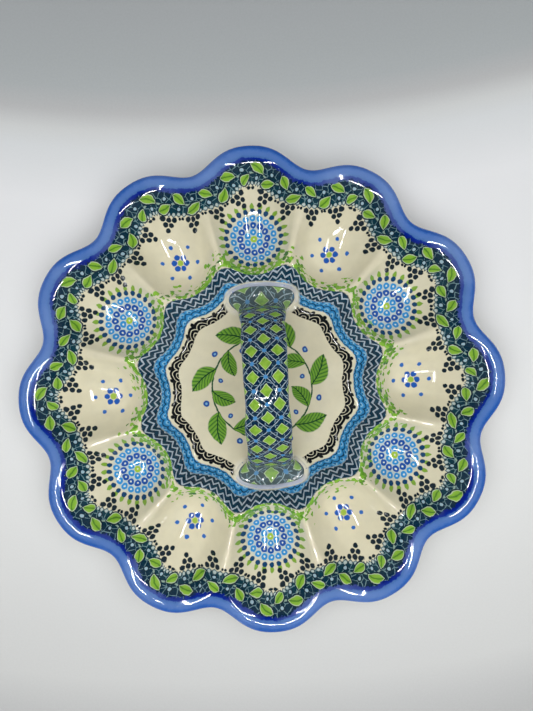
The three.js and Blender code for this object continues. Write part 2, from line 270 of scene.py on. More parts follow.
def top_height(radius, angle):
    """Upper face: the smooth minimum of centre and well, and of that and the top of the lip."""
    body = smooth_min(centre_height(radius, crest_radius(angle)),
                      well_height(radius, angle, RIDGE_ROUND), CREST_ROUND)
    return smooth_min(body, RIM_HEIGHT, LIP_ROUND)


well_depth = float(top_height(85, PITCH / 2) - top_height(88, 0))
print("a well is", round(well_depth, 1), "mm deep below its ridges")

# %% Underside of the dish
BODY_WALL = 5.5
FOOT_HEIGHT, FOOT_INSET = 4.5, 4.4
FOOT_RADIUS = CREST_AT_WELL - WALL_RUN - FOOT_INSET
UNDER_RIDGE_ROUND, UNDER_CREST_ROUND = 1.2, 14
CONE_START, CONE_SLOPE, CONE_ROUND = 7, 0.28, 6


def under_height(radius, angle):
    """Underside: a softer copy of the upper face, lowered by the wall's thickness square to its slope, and
    kept below a flat cone that starts over the foot ring."""
    def soft(r, a):
        centre = centre_height(r, (CREST_AT_RIDGE + crest_radius(a)) / 2)
        return smooth_min(centre, well_height(r, a, UNDER_RIDGE_ROUND), UNDER_CREST_ROUND)
    step = 0.1
    outward = (soft(radius + step, angle) - soft(radius - step, angle)) / (2 * step)
    sideways = (soft(radius, angle + step / radius) - soft(radius, angle - step / radius)) / (2 * step)
    below = soft(radius, angle) - BODY_WALL * np.sqrt(1 + outward ** 2 + sideways ** 2)
    return smooth_min(below, CONE_START + CONE_SLOPE * (radius - FOOT_RADIUS), CONE_ROUND)


print("foot ring", round(2 * FOOT_RADIUS, 1), "mm across")

# %% [markdown]
# ## A mesh from rings of points
# Every piece is a stack of rings with the same number of points: the dish from its centre over the lip to its
# foot, the handle and the beads from one end to the other. One function joins neighbouring rings with quads
# and closes both ends with a fan. UV maps are given per face corner, so a map may jump at the border between
# two wells without smearing.

# %% Piece from rings
def corner_map(left, right):
    """UV values of quads from values on their two sides, given as arrays of ring, column and two numbers."""
    return np.stack([left[:-1], left[1:], right[1:], right[:-1]], axis=2)


def make_piece(name, rings, maps):
    """Joins rings (ring, column, xyz in millimetres) with quads from ring to ring and column to column. The
    columns close on themselves, and a fan closes each end."""
    rows, columns, _ = rings.shape
    ring, side = np.meshgrid(np.arange(rows - 1), np.arange(columns), indexing="ij")
    far, beside = ring + 1, (side + 1) % columns
    quads = np.stack([ring * columns + side, far * columns + side, far * columns + beside,
                      ring * columns + beside], axis=-1).reshape(-1, 4)
    points = np.vstack([rings.reshape(-1, 3), rings[0].mean(axis=0), rings[-1].mean(axis=0)])
    first, last, end = rows * columns, rows * columns + 1, (rows - 1) * columns
    faces = quads.tolist()
    faces += np.stack([np.full(columns, first), side[0], beside[0]], axis=-1).tolist()
    faces += np.stack([np.full(columns, last), end + beside[0], end + side[0]], axis=-1).tolist()
    mesh = bpy.data.meshes.new(name)
    mesh.from_pydata((points * MM).tolist(), [], faces)
    for map_name, corners in maps.items():
        flat = [corners.reshape(-1, 2)]
        for row, left, right in ((corners[0], 0, 3), (corners[-1], 2, 1)):
            middle = (row[:, left] + row[:, right]) / 2
            flat.append(np.stack([middle, row[:, left], row[:, right]], axis=1).reshape(-1, 2))
        layer = mesh.uv_layers.new(name=map_name)
        layer.data.foreach_set("uv", np.vstack(flat).astype(np.float32).ravel())
    mesh.shade_smooth()
    mesh.validate()
    piece = bpy.data.objects.new(name, mesh)
    bpy.context.scene.collection.objects.link(piece)
    print(name, "has", len(mesh.polygons), "faces")
    return piece


# %% [markdown]
# ## Rings of the dish
# The rings follow the shape instead of plain circles: on the wall they keep their distance from the wavy
# crest, and in the wells their share of the way from crest to lip. So an edge of the shape runs along an edge
# of the mesh and stays crisp with few faces. One well is worked out and turned twelve times.

# %% Rings of one well
COLUMNS, RIDGE_CROWDING, MIDDLE_SHARE = 40, 0.6, 0.02
FLOOR_RINGS, WALL_RINGS, WELL_RINGS, LIP_RINGS, UNDER_RINGS, HEEL_RINGS = 16, 30, 68, 14, 27, 7
WALL_REACH, LIP_TURN_END, UNDER_START, HEEL_REACH = 1.6, -50, 0.92, 0.7
local_angle = np.linspace(-0.5, 0.5, COLUMNS + 1)
local_angle = (local_angle + RIDGE_CROWDING * np.sin(2 * np.pi * local_angle) / (2 * np.pi)) * PITCH
crest, lip_crest = crest_radius(local_angle), lip_crest_radius(local_angle)

floor_radii = np.linspace(MIDDLE_SHARE, 1, FLOOR_RINGS)[:, None] * (crest - WALL_REACH * WALL_RUN)
wall_radii = crest - np.linspace(WALL_REACH, 0, WALL_RINGS + 1)[1:, None] * WALL_RUN
well_radii = crest + np.linspace(0, 1, WELL_RINGS + 1)[1:, None] * (lip_crest - crest)
top_radii = np.vstack([floor_radii, wall_radii, well_radii])
top_rows = np.stack([top_radii, top_height(top_radii, local_angle)], axis=-1)

lip_turn = np.radians(np.linspace(90, LIP_TURN_END, LIP_RINGS + 1)[1:, None])
lip_rows = np.stack([lip_crest + LIP_THICKNESS / 2 * np.cos(lip_turn),
                     RIM_HEIGHT - LIP_THICKNESS / 2 * (1 - np.sin(lip_turn)) + 0 * lip_crest], axis=-1)

under_radii = np.vstack([crest + np.linspace(UNDER_START, 0, UNDER_RINGS)[:, None] * (lip_crest - crest),
                         crest - np.linspace(0, HEEL_REACH, HEEL_RINGS + 1)[1:, None] * WALL_RUN])
under_rows = np.stack([under_radii, under_height(under_radii, local_angle)], axis=-1)
print(len(top_rows), "rings on top,", len(lip_rows), "round the lip,", len(under_rows), "underneath")

# %% Foot ring and base
FOOT_SECTION = np.array([(4.4, 4.75), (3.8, 3.9), (3.1, 1.8), (2.8, 0.6), (2.55, 0.14), (2.2, 0), (-2.2, 0),
                         (-2.55, 0.14), (-2.8, 0.6), (-3.1, 1.8), (-3.6, 3.5), (-4.1, 4.25), (-5.0, 4.5)])
TUCK_RINGS, HOLLOW_RINGS, BASE_RINGS = 3, 4, 4
foot_rows = np.stack(np.broadcast_arrays(FOOT_RADIUS + FOOT_SECTION[:, :1], FOOT_SECTION[:, 1:],
                                         local_angle)[:2], axis=-1)


def rows_between(start, end, count):
    """Rows on straight lines from one row of points to another, without these two."""
    share = np.linspace(0, 1, count + 2)[1:-1, None, None]
    return start * (1 - share) + end * share


tuck_rows = rows_between(lip_rows[-1], under_rows[0], TUCK_RINGS)
hollow_rows = rows_between(under_rows[-1], foot_rows[0], HOLLOW_RINGS)
base_radii = np.linspace(1, MIDDLE_SHARE, BASE_RINGS + 1)[1:, None] * foot_rows[-1, :, 0]
base_rows = np.stack([base_radii, 0 * base_radii + FOOT_HEIGHT], axis=-1)

section = np.concatenate([top_rows, lip_rows, tuck_rows, under_rows, hollow_rows, foot_rows, base_rows])
turned = (local_angle[:-1] + PITCH * np.arange(WELLS)[:, None]).ravel()
around = np.tile(section[:, :-1], (1, WELLS, 1))
radius, height = around[..., 0], around[..., 1]
dish_rings = np.stack([radius * np.cos(turned), radius * np.sin(turned), height], axis=-1)
print("dish rings:", dish_rings.shape)

# %% [markdown]
# ## Maps that the painter follows
# A painter turns the dish on a wheel and stamps along lines that are there in the clay, so the surface has a
# map for each. `border` runs along the lip and counts millimetres inwards, square to a line 14 mm inside the
# outline, so a stamped row keeps its width round the notches. `fringe` is the same from a line 25 mm inside,
# for what hangs deeper in the wells. `crest` counts wells round the dish and millimetres out from the crest;
# towards the floor its waves die down by a smoothstep, as a brush over a turning wheel evens them out. `well`
# has its origin where an egg lies.

# %% Border and fringe maps
LOBE_POINTS, BORDER_INSET, FRINGE_INSET = 1000, 14.0, 25.0
fine = np.linspace(-1.5, 1.5, 3 * LOBE_POINTS + 1) * PITCH
outline = np.stack([np.cos(fine), np.sin(fine)], axis=-1)
outline *= scallop(fine, LOBE_RADIUS, NOTCH_RADIUS)[:, None]
heading = np.gradient(outline, axis=0)
heading /= np.linalg.norm(heading, axis=1, keepdims=True)
inward = np.stack([-heading[:, 1], heading[:, 0]], axis=-1)
flat_top = top_radii[..., None] * np.stack([np.cos(local_angle), np.sin(local_angle)], axis=-1)


def inset_map(inset):
    """For each point of the upper face: millimetres along a line the inset inside the outline, to the nearest
    point on it, and millimetres inside the outline. Also the length of that line along one lobe."""
    guide = outline + inset * inward
    along = np.concatenate([[0], np.cumsum(np.linalg.norm(np.diff(guide, axis=0), axis=1))])
    apart = (flat_top[:, :, None, 0] - guide[:, 0]) ** 2 + (flat_top[:, :, None, 1] - guide[:, 1]) ** 2
    nearest = apart.argmin(axis=-1)
    beyond = ((flat_top - guide[nearest]) * inward[nearest]).sum(axis=-1)
    places = np.stack([along[nearest] - along[3 * LOBE_POINTS // 2], inset + beyond], axis=-1)
    return places, float(along[2 * LOBE_POINTS] - along[LOBE_POINTS])


border_top, BORDER_LOBE = inset_map(BORDER_INSET)
fringe_top, FRINGE_LOBE = inset_map(FRINGE_INSET)
print("one lobe:", round(BORDER_LOBE, 1), "mm in the border,", round(FRINGE_LOBE, 1), "in the fringe")

# %% The other maps, for all rings
CALM_REACH, CALM_SHARE, WELL_MIDDLE, FAR_AWAY = 20.0, 0.65, 82.0, 500.0
steps = np.linalg.norm(np.diff(section, axis=0), axis=-1)
tops, all_rows = len(top_rows), len(section)
past_lip = np.cumsum(steps, axis=0)[tops - 1:]

border = np.zeros((all_rows, COLUMNS + 1, 2))
border[:tops] = border_top
border[tops:, :, 0] = border_top[-1, :, 0]
border[tops:, :, 1] = border_top[-1, :, 1] - (past_lip - past_lip[0] + steps[tops - 1])
fringe = np.zeros_like(border)
fringe[:tops] = fringe_top
crest_uv = np.full_like(border, FAR_AWAY)
crest_uv[..., 0] = local_angle / PITCH
inside = np.clip((crest - top_radii) / CALM_REACH, 0, 1)
calm = CALM_SHARE * inside ** 2 * (3 - 2 * inside)
crest_uv[:tops, :, 1] = top_radii - crest + calm * (crest - (CREST_AT_WELL + CREST_AT_RIDGE) / 2)
well_uv = np.full_like(border, FAR_AWAY)
well_uv[:tops] = flat_top - (WELL_MIDDLE, 0)


def on_all_wells(values, advance):
    """Corner values of all wells from those of one: the first number grows by advance from well to well."""
    corners = np.tile(corner_map(values[:, :-1], values[:, 1:]), (1, WELLS, 1, 1))
    corners[..., 0] += advance * (np.repeat(np.arange(WELLS), COLUMNS) + 0.5)[:, None]
    return corners


dish_maps = {"border": on_all_wells(border, BORDER_LOBE), "fringe": on_all_wells(fringe, FRINGE_LOBE),
             "crest": on_all_wells(crest_uv, 1.0), "well": on_all_wells(well_uv, 0)}
print("maps:", ", ".join(dish_maps))

# %% [markdown]
# ## A map for the baked copy
# A model that leaves Blender carries its painting as a picture, so the dish also brings a map without
# overlaps: the upper side is a large disc in one corner of the square, the underside a small one in the
# opposite corner. Distance from a disc's middle is distance along the clay, so steep walls get as many pixels
# as flat ones.

# %% Two discs
TOP_DISC, UNDER_DISC, DISC_MARGIN, BASE_MIDDLE = 0.43, 0.145, 0.004, 0.8
run = np.concatenate([[0], np.cumsum(steps.mean(axis=1))]) + section[0, :, 0].mean()
edge_row = tops + len(lip_rows) - 1
on_top = np.arange(all_rows - 1) < edge_row
full_turn = np.append(turned, turned[0] + 2 * np.pi)
compass = np.stack([np.cos(full_turn), np.sin(full_turn)], axis=-1)


def disc(share, radius, middle):
    """Corner values on a disc: the middle plus a share of the radius in the direction of the column."""
    flat = middle + radius * share[:, None, None] * compass
    return corner_map(flat[:, :-1], flat[:, 1:])


upper_disc = disc(run / run[edge_row], TOP_DISC, TOP_DISC + DISC_MARGIN)
back_run = (run[-1] - run) + BASE_MIDDLE
under_middle = 1 - UNDER_DISC - DISC_MARGIN
lower_disc = disc(back_run / back_run[edge_row], UNDER_DISC, under_middle)
lower_disc[..., 1] = 2 * under_middle - lower_disc[..., 1]
dish_maps["OFBake"] = np.where(on_top[:, None, None, None], upper_disc, lower_disc)
print("one millimetre takes", round(1024 * TOP_DISC / run[edge_row], 2), "pixels of a 1024 pixel picture")

# %% The dish
dish = make_piece("glazed_dish", dish_rings, dish_maps)
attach(dish, "root")
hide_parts("dish_body")

# %% [markdown]
# ## The strap handle
# The potter rolls a strap, bends it into an arch and presses both ends onto the dish, where they spread into
# pads. A swept profile alone would poke into the dish like a staple. So over the last centimetre the rings of
# the strap change into the outline of a pad that lies on the dish: each is a mix of the two, and the flare
# comes by itself.

# %% Middle line of the strap
HANDLE_HEIGHT, HANDLE_ASIDE, HANDLE_BACK = 60.0, 2.5, 1.2
STRAP_WIDTH, LEG_WIDTH, STRAP_THICKNESS = 22.0, 26.5, 7.0
LEG_INSET = 10.4
ARCH_HALF_SPAN = CREST_AT_WELL - WALL_RUN - LEG_INSET
ARCH_RISE = HANDLE_HEIGHT - STRAP_THICKNESS / 2 - FLOOR_HEIGHT
ARCH_SQUARENESS, STRAP_SQUARENESS = 2.05, 2.8
ARCH_POINTS = 8001


def squared(x, squareness):
    """Cosine or sine of a superellipse: the sign of x times |x| to the power 2 / squareness."""
    return np.sign(x) * np.abs(x) ** (2 / squareness)


bend = np.linspace(0, np.pi, ARCH_POINTS)
arch_y = HANDLE_BACK - ARCH_HALF_SPAN * squared(np.cos(bend), ARCH_SQUARENESS)
arch_z = FLOOR_HEIGHT + ARCH_RISE * squared(np.sin(bend), ARCH_SQUARENESS)
arch_run = np.concatenate([[0], np.cumsum(np.hypot(np.diff(arch_y), np.diff(arch_z)))])
ARCH_LENGTH = arch_run[-1]
print("strap of", round(ARCH_LENGTH), "mm along its middle")

# %% Rings of the strap
SIDES, EVEN_POINTS = 96, 1201
FINGER_WAVES = ((0.55, 6.1, 0), (0.4, 3.7, 1))
turn = -np.pi / 2 + 2 * np.pi * np.arange(SIDES) / SIDES


def strap_rings(distance):
    """Rings square to the arch: a superellipse that widens with the square of the distance from the top.
    Fingers leave waves in its width: rise times the sine of distance / length + start."""
    even = np.linspace(0, ARCH_LENGTH, EVEN_POINTS)
    y, z = np.interp(even, arch_run, arch_y), np.interp(even, arch_run, arch_z)
    ahead = np.stack([np.gradient(y), np.gradient(z)], axis=-1)
    ahead /= np.linalg.norm(ahead, axis=1, keepdims=True)
    y, z, dy, dz = (np.interp(distance, even, a)[:, None] for a in (y, z, ahead[:, 0], ahead[:, 1]))
    low = np.abs(2 * distance[:, None] / ARCH_LENGTH - 1)
    width = STRAP_WIDTH + (LEG_WIDTH - STRAP_WIDTH) * low ** 2
    for rise, length, start in FINGER_WAVES:
        width = width + rise * np.sin(distance[:, None] / length + start)
    across = width / 2 * squared(np.cos(turn), STRAP_SQUARENESS)
    out = STRAP_THICKNESS / 2 * squared(np.sin(turn), STRAP_SQUARENESS)
    return np.stack([HANDLE_ASIDE + across, y - dz * out, z + dy * out], axis=-1)


print("strap", STRAP_WIDTH, "mm wide at the top,", LEG_WIDTH, "at its ends")

# %% Rings of the pads
PAD_WIDTH, PAD_DEPTH, PAD_OUT = 36.0, 14.0, 6.7
PAD_INNER, INNER_SQUARENESS = PAD_OUT + STRAP_THICKNESS / 2, 1.6
PAD_SHARES, PAD_LIFTS = (1, 1, 1, 0.985, 0.96), (-0.5, 0.3, 1.0, 1.45, 1.75)
PAD_SHRINK, PAD_CLIMB = 0.3, 1.5
FLARE_START, FLARE_END, FLARE_RINGS, FREE_RINGS = 3.0, 12.0, 17, 118


def pad_rings(end, share, grow, lift, back, turn=turn):
    """Rings on the dish round a foot of the strap, end -1 in front and 1 at the back: two halves of
    superellipses, the inner one as far as the inner face of the leg. They have a share of the pad's size plus
    grow and lie a lift above the dish; back is how far their middle has moved from the pad's to the leg's."""
    share, grow, lift, back = (np.asarray(a, float)[:, None] for a in (share, grow, lift, back))
    outer = np.sin(turn) > 0
    depth = np.where(outer, PAD_DEPTH / 2, PAD_INNER + (STRAP_THICKNESS / 2 - PAD_INNER) * back)
    power = np.where(outer, STRAP_SQUARENESS, INNER_SQUARENESS)
    x = HANDLE_ASIDE + (PAD_WIDTH / 2 * share + grow) * squared(np.cos(turn), power)
    y = ARCH_HALF_SPAN + PAD_OUT * (1 - back) + (depth * share + grow) * squared(np.sin(turn), power)
    y = HANDLE_BACK + end * y
    return np.stack([x, y, top_height(np.hypot(x, y), np.arctan2(y, x)) + lift], axis=-1)


def foot_rings(end):
    """Edge of a pad, then rings that turn from pad to strap as a smoothstep of their number."""
    still = [0] * len(PAD_SHARES)
    edge = pad_rings(end, PAD_SHARES, still, PAD_LIFTS, still)
    s = np.linspace(0, 1, FLARE_RINGS + 1)[1:]
    mix = (s * s * (3 - 2 * s))[:, None, None]
    pad = pad_rings(end, PAD_SHARES[-1] - PAD_SHRINK * s, 0 * s, PAD_LIFTS[-1] + PAD_CLIMB * s ** 2, s)
    leg = FLARE_START + (FLARE_END - FLARE_START) * s
    strap = strap_rings(leg if end < 0 else ARCH_LENGTH - leg)
    return np.concatenate([edge, pad * (1 - mix) + strap * mix])


free_run = np.linspace(FLARE_END, ARCH_LENGTH - FLARE_END, FREE_RINGS + 2)[1:-1]
front_foot, back_foot = foot_rings(-1), foot_rings(1)[::-1]
handle_rings = np.concatenate([front_foot, strap_rings(free_run), back_foot])
print("handle rings:", handle_rings.shape)

# %% Map of the strap
PAD_RUN = (-2.0, -1.0, 0.0, 1.0, 2.0)
foot_run = np.concatenate([PAD_RUN, np.linspace(PAD_RUN[-1], FLARE_END, FLARE_RINGS + 1)[1:]])
strap_run = np.concatenate([foot_run, free_run, ARCH_LENGTH - foot_run[::-1]])
middle_ring = strap_rings(np.array([ARCH_LENGTH / 2]))[0]
girth = np.linalg.norm(np.diff(np.vstack([middle_ring, middle_ring[:1]]), axis=0), axis=1)
strap_across = np.concatenate([[0], np.cumsum(girth)]) - girth.sum() / 2
strap_uv = np.stack(np.broadcast_arrays(strap_run[:, None], strap_across), axis=-1)
handle = make_piece("glazed_handle", handle_rings, {"strap": corner_map(strap_uv[:, :-1], strap_uv[:, 1:])})
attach(handle, "root")
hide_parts("strap_handle")

# %% [markdown]
# ## Beads of slip
# Liquid clay squeezes out round each pad, is wiped with a finger and fires to a smooth roll. It is a small
# section carried round the pad from one side of the leg to the other, and it lies a little inside the dish
# and the pad, so no gap shows.

# %% Slip beads
BEAD = np.array([(-0.6, -0.4), (-0.6, 0.6), (-0.2, 0.9), (0.3, 0.95), (0.8, 0.85), (1.2, 0.62), (1.55, 0.35),
                 (1.85, 0.08), (2.0, -0.15), (1.7, -0.4)])
BEAD_FROM, BEAD_TO, BEAD_RINGS = -42, 222, 89
bead_turn = np.radians(np.linspace(BEAD_FROM, BEAD_TO, BEAD_RINGS))
still = np.ones(len(BEAD))
beads = []
for end, name, node in ((-1, "slip_fillet_front", "slip_bead_front"),
                        (1, "slip_fillet_back", "slip_bead_back")):
    sections = pad_rings(end, still, BEAD[:, 0], BEAD[:, 1], 0 * still, bead_turn).transpose(1, 0, 2)
    bead = make_piece(name, sections[::-end], {})
    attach(bead, "root")
    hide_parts(node)
    beads.append(bead)

# %% [markdown]
# ## Painted stoneware: the ground and the hand
# Clay under a cream slip is painted with metal oxides and fired under a clear glaze: a creamy ground with
# slight clouds, crisp but hand-wobbled painting, and sharp reflections on top. All stamps read a map plus a
# small noise, as from an unsteady hand. Sizes of noises are metres, because they read the object's
# coordinates; lengths on the maps are millimetres.

# %% Coordinates of the dish painting
HAND_SPAN, CLOUD, MOTTLE = 0.0035, 0.022, 0.0022


def unsteady(position, detail, roughness, swing):
    """Wobble of the hand: a noise times swing, less half of it, in millimetres."""
    noise = add("TexNoise", position, 1 / HAND_SPAN, detail, roughness, out=1)
    return add("VectorMath:MULTIPLY_ADD", noise, (swing, swing, 0), (-swing / 2, -swing / 2, 0))


def on_map(name, wobble):
    """Both coordinates of a UV map, each plus the wobble of the hand."""
    x = add("SeparateXYZ", add("VectorMath:ADD", add("UVMap", uv_map=name), wobble))
    return x, x.node.outputs[1]


glazed, t = new_material("painted_glazed_stoneware")
place = add("TexCoord", out=3)
hand = unsteady(place, 4.0, 0.6, 1.5)
u, v = on_map("border", hand)
wells_round = add("SeparateXYZ", add("UVMap", uv_map="crest"))
from_crest = on_map("crest", hand)[1]
flat = add("VectorMath:MULTIPLY", place, (1 / MM, 1 / MM, 0))
flat_x = add("SeparateXYZ", flat)
flat_y = flat_x.node.outputs[1]
clouds = add("TexNoise", place, 1 / CLOUD, 3.0)
mottle = add("TexNoise", place, 1 / MOTTLE, 3.0)
coats = []
print("coordinates for", glazed.name)

# %% [markdown]
# ## Crest: sponged green
# Along the crest the painter dabs green with a cut sponge. Dabs are cells of a Voronoi texture, about 2 mm in
# size. Each has a random number and is painted where that lies below a curve, high on the crest and falling
# off on both sides, so the edge breaks up into single dabs. Where a ridge starts, they reach further out.

# %% Sponged crest
DAB = 0.0021
DABS_INSIDE, DABS_OUTSIDE, RIDGE_DABS = -3.0, 11.0, 3.5


def in_cell(count, width):
    """Place in a counted cell, from minus to plus half its width: (fraction of count - 0.5) times width."""
    return add("MULTIPLY_ADD", add("FRACT", count), width, -width / 2)


ridge_share = add("ABSOLUTE", in_cell(wells_round, 2.0))
dab_row = add("MULTIPLY_ADD", add("POWER", ridge_share, 1.7), -RIDGE_DABS, from_crest)
dab_gap = add("TexVoronoi", place, 1 / DAB, None, None, None, 1.0)
dab_luck = add("SeparateColor", dab_gap.node.outputs["Color"])
dense = add("ValToRGB", add("MapRange", dab_row, DABS_INSIDE, DABS_OUTSIDE), stops=[
    (0.02, 0), (0.12, 0.85), (0.28, 0.85), (0.42, 0.5), (0.56, 0.22), (0.80, 0.05), (0.95, 0)])
painted_dab = add("LESS_THAN", dab_luck, dense)
dab_round = add("MapRange", dab_gap, 0.76, 0.66, **SMOOTH)
dab_colour = add("ValToRGB", dab_luck.node.outputs[1], stops=[
    (0.0, "#579026"), (0.35, "#76ae30"), (0.7, "#8cbe40"), (1.0, "#3f6e33")])
coats.append((add("MULTIPLY", painted_dab, dab_round), dab_colour))
print("dabs of", round(DAB / MM, 1), "mm")

# %% [markdown]
# ## Wall and floor edge: three bands
# Three narrow bands follow the crest round the wall of the centre: dark teal with pale chevrons, light blue
# fish scales, and an arcade of near-black arches on the floor. Each repeats one small cell: the fraction of a
# counted coordinate gives the place inside the cell, and distances in it draw the line.

# %% Dark band with chevrons
CHEVRONS, CHEVRON_RISE, STRIPES_PER_MM = 7, 1.5, 0.36


def between(value, rise, fall, **settings):
    """A soft band: rise and fall each give the value where the band is 0 and the value where it is 1."""
    return add("MULTIPLY", add("MapRange", value, *rise, **settings),
               add("MapRange", value, *fall, **settings))


zigzag = add("ABSOLUTE", in_cell(add("MULTIPLY", wells_round, CHEVRONS), 1.0))
stripes = add("MULTIPLY_ADD", zigzag, CHEVRON_RISE, add("MULTIPLY", from_crest, STRIPES_PER_MM))
chevron = between(add("FRACT", stripes), (0.60, 0.66), (0.96, 0.90), **SMOOTH)
dark_wall = add("ValToRGB", mottle, stops=[(0.3, "#052236"), (0.7, "#123f54")])
wall_band = between(from_crest, (-6.9, -6.4), (0.4, -0.2))
coats += [(wall_band, dark_wall), (add("MULTIPLY", wall_band, chevron), "#b3bfca")]
print(CHEVRONS * WELLS, "chevrons")

# %% Light blue fish scales
SCALES, SCALE_ROW, SCALE_WIDTH, SCALE_RAMP, ROWS_BELOW = 7, 2.7, 4.0, 3.4, 20.0


def off_point(x, y):
    """Distance from the point where x and y are 0: the root of x squared + y squared."""
    return add("VectorMath:LENGTH", add("CombineXYZ", x, y, 0))


scale_row = add("MULTIPLY_ADD", from_crest, 1 / SCALE_ROW, ROWS_BELOW)
scale_count = add("MULTIPLY", wells_round, SCALES)
shifted = add("MULTIPLY_ADD", add("FLOOR", scale_row), 0.5, scale_count)
scale_y = add("MULTIPLY", add("FRACT", scale_row), SCALE_ROW)
scale_reach = off_point(in_cell(shifted, SCALE_WIDTH), scale_y)
scales = add("ValToRGB", add("MULTIPLY", scale_reach, 1 / SCALE_RAMP), stops=[
    (0.0, "#0b3f66"), (0.17, "#1f74aa"), (0.22, "#a3cbdc"), (0.30, "#6fb2d6"), (0.40, "#3a90c8"),
    (0.58, "#2c80b8"), (0.64, "#0a324c"), (0.72, "#0a324c"), (0.78, "#2f86bd")])
coats.append((between(from_crest, (-12.2, -11.7), (-6.5, -7.0)), scales))
print(SCALES * WELLS, "scales in a row")

# %% Near-black arcade
ARCHES, ARCH_PITCH, ARCADE_FOOT, KNOB_AT = 4, 6.2, -18.6, 4.7
arcade_x = in_cell(add("MULTIPLY", wells_round, ARCHES), ARCH_PITCH)
arcade_y = add("SUBTRACT", from_crest, ARCADE_FOOT)
arches = add("ValToRGB", add("MULTIPLY", off_point(arcade_x, arcade_y), 0.1), stops=[
    (0.0, 1), (0.12, 1), (0.14, 0), (0.155, 0), (0.175, 1), (0.30, 1), (0.32, 0), (0.335, 0), (0.355, 1),
    (0.48, 1), (0.50, 0)])
knob_x = add("SUBTRACT", ARCH_PITCH / 2, add("ABSOLUTE", arcade_x))
knob = off_point(knob_x, add("SUBTRACT", arcade_y, KNOB_AT))
arcade = add("MAXIMUM", arches, add("MapRange", knob, 1.15, 0.85))
arcade_band = between(from_crest, (-18.8, -18.5), (-12.2, -12.6))
coats.append((add("MULTIPLY", arcade, arcade_band), "#060b10"))
print(ARCHES * WELLS, "arches")

# %% [markdown]
# ## Running leaves
# The same ornament is used twice: a stem with leaves on alternate sides. A row is cut into cells, every
# second cell is flipped over the stem, and in each stands one leaf: the points where |y| / half width + (x /
# half length) squared is below 1, which gives two pointed ends and full sides.

# %% Leaf and stem fields
def running_leaves(count, length, offset, size, lean, lift):
    """Fields of a row of leaves. count runs 1 per leaf, length is that of a cell, offset the distance from
    the stem, size the half length and half width, lean the turn and lift the leaf's distance from the stem.
    Gives the leaf field (below 1 inside), distances off and along the midrib, and the place in the cell."""
    odd = add("MODULO", add("FLOOR", count), 2.0)
    cell_x = in_cell(count, length)
    cell_y = add("MULTIPLY", offset, add("MULTIPLY_ADD", odd, -2.0, 1.0))
    c, s = float(np.cos(lean)), float(np.sin(lean))
    high = add("SUBTRACT", cell_y, lift)
    x = add("MULTIPLY_ADD", cell_x, c, add("MULTIPLY", high, s))
    y = add("ABSOLUTE", add("MULTIPLY_ADD", high, c, add("MULTIPLY", cell_x, -s)))
    bow = add("POWER", add("MULTIPLY", add("ABSOLUTE", x), 1 / size[0]), 2.0)
    return add("MULTIPLY_ADD", y, 1 / size[1], bow), y, x, cell_x, cell_y


print("a leaf is wider than half its width up to", round(0.5 ** 0.5, 2), "of its half length")

# %% Coats from fields
def stamps(*rows):
    """Coats from rows of field, outside, inside and colour: a mask is 0 where its field has the outside value
    and 1 where it has the inside one."""
    return [(add("MapRange", field, outside, inside), colour) for field, outside, inside, colour in rows]


def within(area, painted):
    """The same coats, painted in an area alone: each mask times that of the area."""
    return [(add("MULTIPLY", mask, area), colour) for mask, colour in painted]


print("coats so far:", len(coats))

# %% Wreath on the floor
WREATH_RADIUS, WREATH_LEAVES, BERRY_AT = 27.5, 14, 4.4
WREATH_LEAF = {"size": (8.4, 4.7), "lean": 0.75, "lift": 5.4}
bearing = add("ARCTAN2", flat_y, flat_x)
wreath_count = add("MULTIPLY_ADD", bearing, WREATH_LEAVES / (2 * np.pi), WREATH_LEAVES)
wreath_cell = 2 * np.pi * WREATH_RADIUS / WREATH_LEAVES
from_axis = add("VectorMath:LENGTH", add("VectorMath:ADD", flat, hand))
off_ring = add("SUBTRACT", from_axis, WREATH_RADIUS)
leaf, off_rib, along_rib, cell_x, cell_y = running_leaves(wreath_count, wreath_cell, off_ring, **WREATH_LEAF)
vein = add("FRACT", add("MULTIPLY_ADD", off_rib, -0.5, add("MULTIPLY", along_rib, 0.45)))
leaf_green = add("ValToRGB", vein, stops=[
    (0.0, "#1f4a30"), (0.22, "#4d8030"), (0.6, "#7aa83a"), (1.0, "#5f9434")])
berry = off_point(cell_x, add("ADD", cell_y, BERRY_AT))
stem, leaves = stamps((add("ABSOLUTE", off_ring), 0.55, 0.35, "#245236"), (leaf, 1.06, 0.94, leaf_green))
ribs = within(leaves[0], stamps((off_rib, 0.38, 0.22, "#123a28")))
berries = stamps((berry, 1.65, 1.4, "#25529c"), (berry, 0.7, 0.5, "#7fb0d8"))
on_floor = add("MapRange", from_crest, -19.3, -19.9)
coats += within(on_floor, [stem, leaves] + ribs + berries)
print(WREATH_LEAVES, "leaves in the wreath, one every", round(wreath_cell, 1), "mm")

# %% [markdown]
# ## Rosettes and florets in the wells
# Every second well carries a large rosette of stamped dots, the others a small floret in a ring of dots, both
# in polar coordinates round the middle of the well. Rings lie 3.7 mm apart, and ring k has 6 k dots, so the
# dots stand at nearly the same distance everywhere, like the seeds of a flower.

# %% Polar coordinates of a well, and which wells take the rosette
def from_nearest(count):
    """How far a count is past the nearest whole number: count - round(count)."""
    return add("SUBTRACT", count, add("ROUND", count))


well_x, well_y = on_map("well", hand)
reach = off_point(well_x, well_y)
around_well = add("MULTIPLY", add("ARCTAN2", well_y, well_x), 1 / (2 * np.pi))
odd_well = add("MODULO", add("FLOOR", wells_round), 2.0)
even_well = add("SUBTRACT", 1.0, odd_well)
print("middle of a well", WELL_MIDDLE, "mm from the axis")

